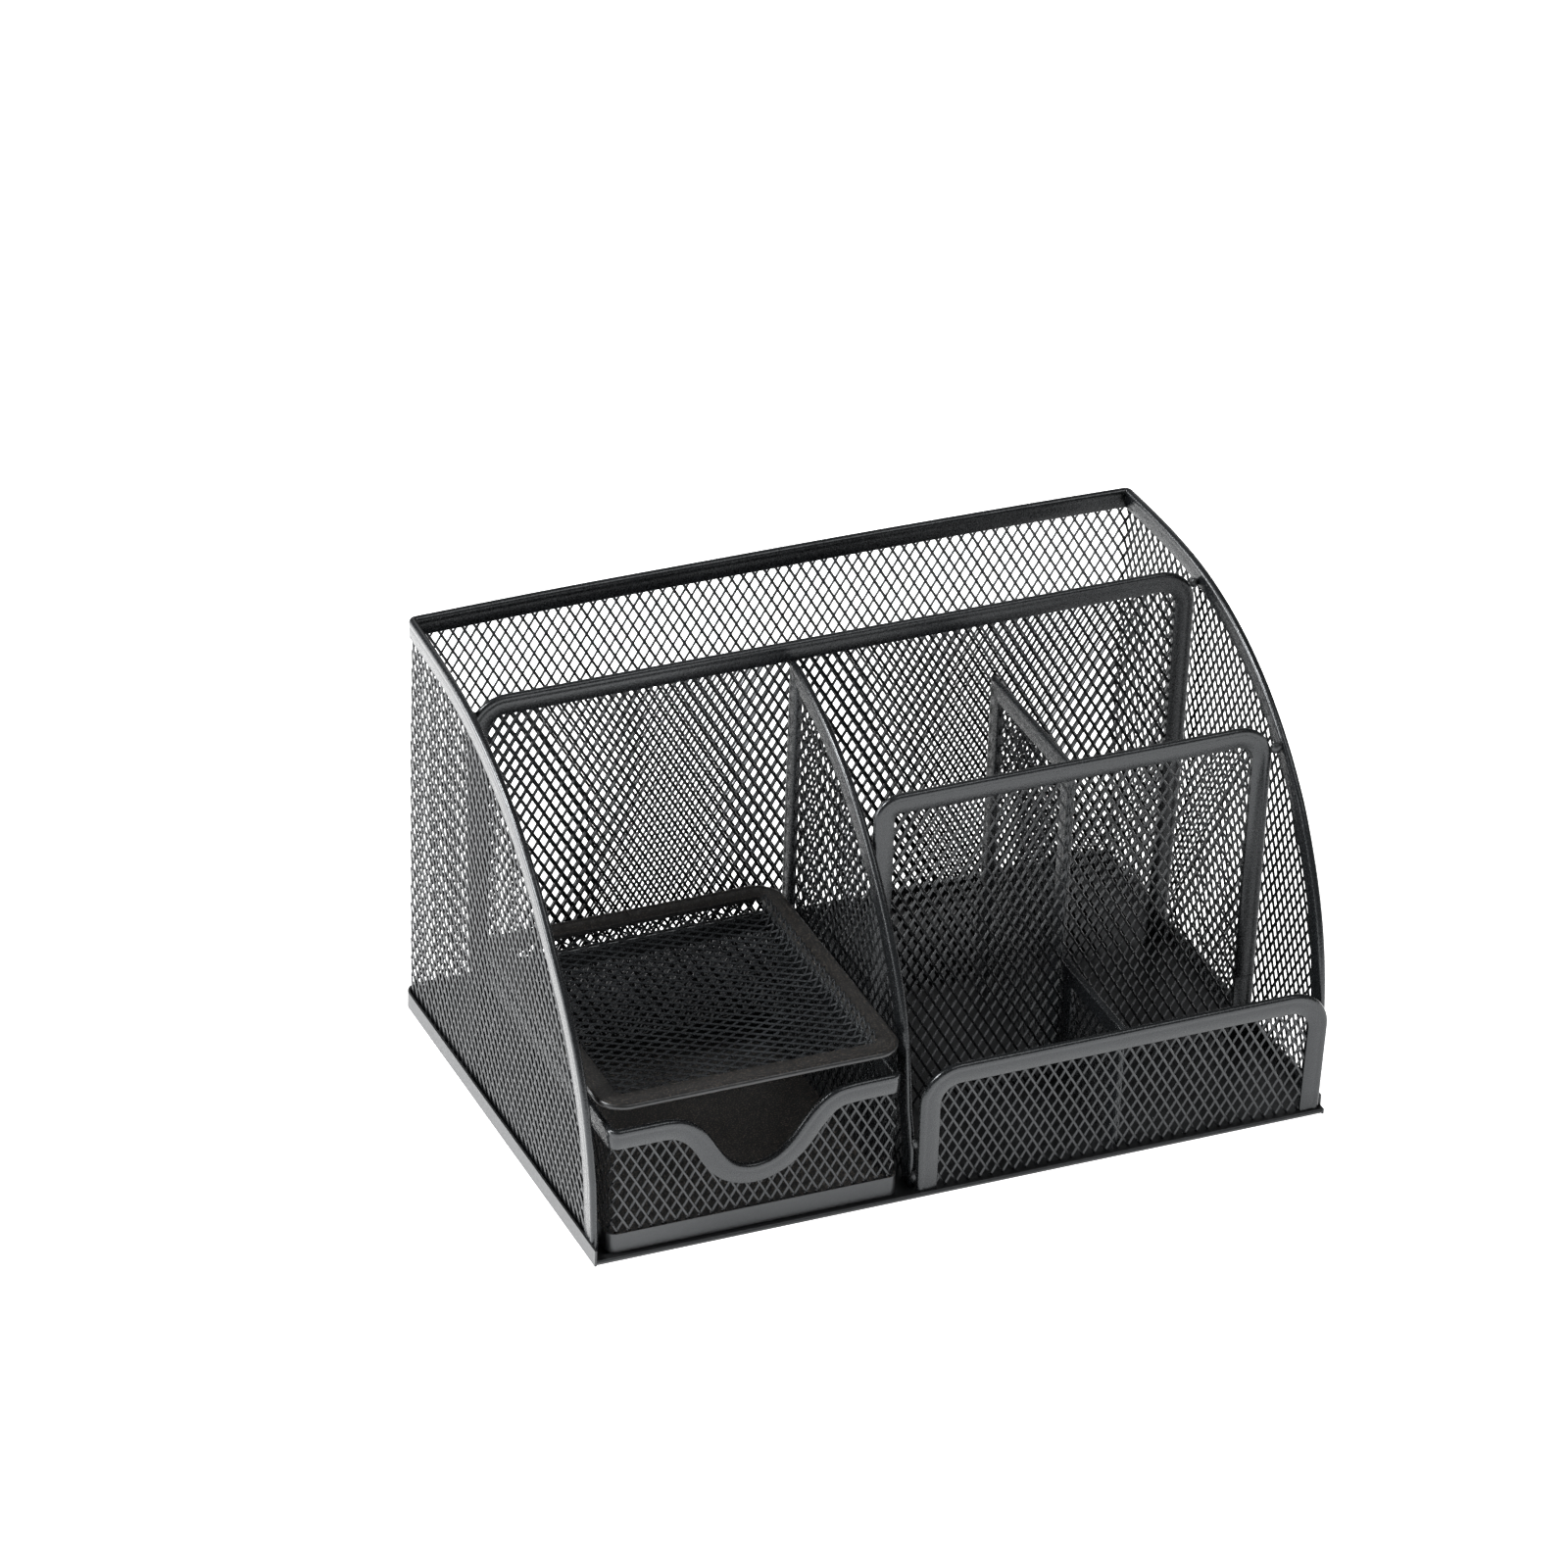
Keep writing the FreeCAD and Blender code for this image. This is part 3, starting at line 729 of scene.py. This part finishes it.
def tray_basket():
    """The shallow basket: one sheet of mesh whose four edges are folded up to the frame."""
    lo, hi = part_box("tray_flange")
    floor_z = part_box("tray_mesh")[0].z
    mid_z = (hi.z + lo.z) / 2
    wall_in = FLANGE_W - BAR_DEPTH / 2
    x0, x1, y0, y1 = lo.x + wall_in, hi.x - wall_in, lo.y + wall_in, hi.y - wall_in
    bend = TRAY_BEND
    depth = mid_z - floor_z - BAR_DEPTH
    arc = bend * math.pi / 2
    side = arc + depth - bend

    def fold(w, w0, w1):
        """Position along one axis, rise above the floor and tilt for the unfolded coordinate w."""
        for edge, sign in ((w0 + bend, -1.0), (w1 - bend, 1.0)):
            past = (w - edge) * sign
            if past > 0:
                if past < arc:
                    t = past / bend
                    return edge + sign * bend * math.sin(t), bend * (1 - math.cos(t)), t * sign
                return edge + sign * bend, bend + past - arc, math.pi / 2 * sign
        return w, 0.0, 0.0

    base_z = floor_z + BAR_DEPTH

    def place(u, v):
        y, rise_y, ty = fold(u, y0, y1)
        x, rise_x, tx = fold(v, x0, x1)
        normal = Vector((-math.sin(tx), -math.sin(ty), math.cos(tx) * math.cos(ty))).normalized()
        return Vector((x, y, base_z + max(rise_x, rise_y))), normal

    u_lo, u_hi = y0 + bend - side, y1 - bend + side
    v_lo, v_hi = x0 + bend - side, x1 - bend + side

    def keep(u, v):
        over_u = max(y0 + 0.4 * bend - u, u - y1 + 0.4 * bend)
        over_v = max(x0 + 0.4 * bend - v, v - x1 + 0.4 * bend)
        return not (over_u > 0 and over_v > 0)

    cols = round((u_hi - u_lo) / SHORT_WAY)
    rows = round((v_hi - v_lo) / LONG_WAY * 2)
    verts, faces = lattice(
        place, u_lo, u_hi, v_lo, v_hi, keep, 52, lean=0.6,
        step_u=(u_hi - u_lo) / cols, step_v=(v_hi - v_lo) / rows * 2,
    )
    add_piece("tray_basket", verts, faces, TRAY_COAT, "case", ["tray_mesh"])


# ---------------------------------------------------------------- drawer
NOTCH_LINE = smooth_points(NOTCH, 4)


def notch_height(x, top):
    """Height of the drawer front's top edge at x."""
    xs = [p[0] for p in NOTCH_LINE]
    zs = [p[1] for p in NOTCH_LINE]
    if x <= xs[0] or x >= xs[-1]:
        return top
    return float(np.interp(x, xs, zs))


def drawer():
    """The drawer's mesh wall and the strip along its top, which dips along the finger notch in front."""
    lo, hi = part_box("drawer_rim")
    pan_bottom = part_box("drawer_pan")[0].z
    top = hi.z
    radius = DRAWER_R - RIM_T / 2
    half = RIM_T / 2
    inner_lo, inner_hi = lo + Vector((half, half, 0.0)), hi - Vector((half, half, 0.0))
    plan = ring_stations(inner_lo, inner_hi, top, radius, 10, 60)
    loop = [(p, -inward) for p, inward, _ in plan]
    lengths = [0.0]
    for i in range(len(loop)):
        lengths.append(lengths[-1] + (loop[(i + 1) % len(loop)][0] - loop[i][0]).length)
    total = lengths[-1]
    xs = [p.x for p, _ in loop] + [loop[0][0].x]
    ys = [p.y for p, _ in loop] + [loop[0][0].y]
    nx = [n.x for _, n in loop] + [loop[0][1].x]
    ny = [n.y for _, n in loop] + [loop[0][1].y]

    def plan_at(u):
        u = u % total
        x, y = float(np.interp(u, lengths, xs)), float(np.interp(u, lengths, ys))
        n = Vector((float(np.interp(u, lengths, nx)), float(np.interp(u, lengths, ny)), 0.0))
        return x, y, n.normalized()

    def is_front(y):
        return y < inner_lo.y + 0.5 * MM

    def place(u, v):
        x, y, n = plan_at(u)
        return Vector((x, y, v)), n

    def keep(u, v):
        x, y, _ = plan_at(u)
        if not is_front(y):
            return v < top - HIDDEN
        return all(
            v < notch_height(x + d, top) - math.sqrt(HIDDEN ** 2 - d ** 2)
            for d in (-0.8 * HIDDEN, 0.0, 0.8 * HIDDEN)
        )

    cols = round(total / SHORT_WAY)
    low = pan_bottom + DRAWER_MESH_LIFT
    verts, faces = lattice(place, 0.0, total, low, top, keep, 61, lean=-1.0, step_u=total / cols)
    add_piece("drawer_basket", verts, faces, STRAND_COAT, "drawer", ["drawer_mesh"])

    drawer_strip(loop, inner_lo, inner_hi, top, radius, is_front)


def drawer_strip(loop, inner_lo, inner_hi, top, radius, is_front):
    """The strip round the top of the drawer; its straight front run is swapped for the notch line."""
    left_x, right_x = inner_lo.x + radius, inner_hi.x - radius
    stations = []
    for p, n in loop:
        if not (is_front(p.y) and left_x < p.x < right_x):
            stations.append((p, Vector((0.0, 0.0, -1.0)), n))
    front_n = Vector((0.0, -1.0, 0.0))
    line = [(left_x, top)] + list(NOTCH_LINE) + [(right_x, top)]
    for i, (x, z) in enumerate(line):
        a, b = line[max(i - 1, 0)], line[min(i + 1, len(line) - 1)]
        d = Vector((b[0] - a[0], 0.0, b[1] - a[1])).normalized()
        stations.append((Vector((x, inner_lo.y, min(z, top))), Vector((d.z, 0.0, -d.x)), front_n))
    verts, faces = [], []
    sweep(waver(stations, 62), RIM_SECTION, True, verts, faces)
    add_piece(
        "drawer_strip", verts, faces, RIM_COAT, "drawer", ["drawer_rim"],
        smooth=FOLD_ANGLE,
    )


# ---------------------------------------------------------------- welds
def add_lump(at, size, rng, verts, faces, rings=8, sides=12):
    """An ellipsoid with an uneven surface."""
    x, y, z = at
    base = len(verts)
    verts.append(Vector((x, y, z - size[2])))
    for i in range(1, rings):
        t = math.pi * i / rings
        for k in range(sides):
            a = 2 * math.pi * k / sides
            lump = 1.0 + rng.uniform(-0.07, 0.07)
            verts.append(Vector((
                x + size[0] * lump * math.sin(t) * math.cos(a),
                y + size[1] * lump * math.sin(t) * math.sin(a),
                z - size[2] * math.cos(t),
            )))
    verts.append(Vector((x, y, z + size[2])))
    tip = len(verts) - 1
    last = tip - sides
    for k in range(sides):
        m = (k + 1) % sides
        faces.append((base, base + 1 + m, base + 1 + k))
        faces.append((tip, last + k, last + m))
        for i in range(rings - 2):
            a, b = base + 1 + i * sides, base + 1 + (i + 1) * sides
            faces.append((a + k, a + m, b + m, b + k))


def weld_blobs():
    """Lumpy beads of weld in the corners where panel edges meet the strips beside them."""
    rng = random.Random(71)
    mid_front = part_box("mid_partition_rim")[0].y
    second_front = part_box("second_partition_rim")[0].y
    panel_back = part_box("front_panel_rim")[1].y
    centre_x = sum(c.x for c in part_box("centre_divider_rim")) / 2
    side = INNER_X - WELD_INSET
    spots = [
        (side, mid_front, MID_WELD_Z, 1.0), (-side, mid_front, MID_WELD_Z, 1.0),
        (side - LONG_WELD_SHIFT, second_front, SECOND_WELD_Z, LONG_WELD),
    ]
    spots += [(centre_x, panel_back + FOOT_WELD_GAP, z, 1.0) for z in FOOT_WELD_Z]
    verts, faces = [], []
    for x, y, z, reach in spots:
        size = [
            rng.uniform(1.2, 1.5) * reach * MM, rng.uniform(1.0, 1.3) * MM, rng.uniform(1.5, 2.0) * MM,
        ]
        add_lump((x, y, z), size, rng, verts, faces)
    add_piece(
        "weld_spots", verts, faces, WELD_COAT, "case", ["weld_beads"],
        sprung=1.0, smooth=80,
    )


def dress_cad(node, material):
    """Give a CAD node that stays in view its finish."""
    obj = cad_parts[node]
    if not obj.material_slots:
        raise RuntimeError("no material slot on " + node)
    for item in obj.material_slots:
        item.material = material


wall_sheet()
wall_strip()
cross_panel("mid_partition", MID_CORNER_R, MID_CORNER_R, 31, width=WIDE_BAR)
cross_panel(
    "second_partition", SECOND_LEFT_R, SECOND_RIGHT_R, 33, seam_height=SECOND_SEAM_Z, sprung=STIFF_SHARE,
)
cross_panel("front_panel", FRONT_PANEL_R, FRONT_PANEL_R, 35)
depth_panel("rear_small_divider", 37)
depth_panel("front_small_divider", 39)
centre_divider()
tray_frame()
tray_basket()
drawer()
weld_blobs()
dress_cad("base_pan", BASE_COAT)
dress_cad("drawer_pan", DRAWER_COAT)


# ---------------------------------------------------------------- studio
FLOOR_DROP = -0.2 * MM
LIGHT_AIM = Vector((0.0, 0.0, 0.05))


def studio_floor():
    """A large pale disc just under the object."""
    mesh = bpy.data.meshes.new("floor")
    n, reach = 24, 6.0
    turns = [2 * math.pi * i / n for i in range(n)]
    verts = [(reach * math.cos(t), reach * math.sin(t), FLOOR_DROP) for t in turns]
    mesh.from_pydata(verts, [], [tuple(range(n))])
    mat = bpy.data.materials.new("pale_floor")
    mat.use_nodes = True
    shader = mat.node_tree.nodes["Principled BSDF"]
    shader.inputs["Base Color"].default_value = (0.9, 0.9, 0.9, 1.0)
    shader.inputs["Roughness"].default_value = 0.9
    shader.inputs["Specular IOR Level"].default_value = 0.1
    shader.inputs["Emission Color"].default_value = (1.0, 1.0, 1.0, 1.0)
    shader.inputs["Emission Strength"].default_value = 1.5
    mesh.materials.append(mat)
    floor = bpy.data.objects.new("floor", mesh)
    bpy.context.scene.collection.objects.link(floor)


def soft_light(name, at, size, power):
    """A rectangular lamp at a place, turned to the object; size in metres, power in watts."""
    data = bpy.data.lights.new(name, "AREA")
    data.shape = "RECTANGLE"
    data.size, data.size_y = size
    data.energy = power
    lamp = bpy.data.objects.new(name, data)
    bpy.context.scene.collection.objects.link(lamp)
    lamp.location = at
    lamp.rotation_euler = (LIGHT_AIM - Vector(at)).to_track_quat("-Z", "Y").to_euler()


def studio_world():
    """Dim, even white light from all round."""
    world = bpy.data.worlds.new("studio")
    world.use_nodes = True
    back = world.node_tree.nodes["Background"]
    back.inputs["Color"].default_value = (1.0, 1.0, 1.0, 1.0)
    back.inputs["Strength"].default_value = 0.14
    bpy.context.scene.world = world


studio_floor()
studio_world()
soft_light("left_window", (-2.2, 1.0, 0.5), (1.8, 1.0), 120.0)
soft_light("over_left", (-1.55, 0.3, 1.8), (0.4, 0.4), 60.0)
soft_light("over_front", (0.7, -1.2, 2.0), (1.0, 0.7), 12.0)
soft_light("back_fill", (0.9, 2.0, 1.35), (1.6, 1.0), 4.0)
bpy.context.scene.view_settings.view_transform = "Standard"
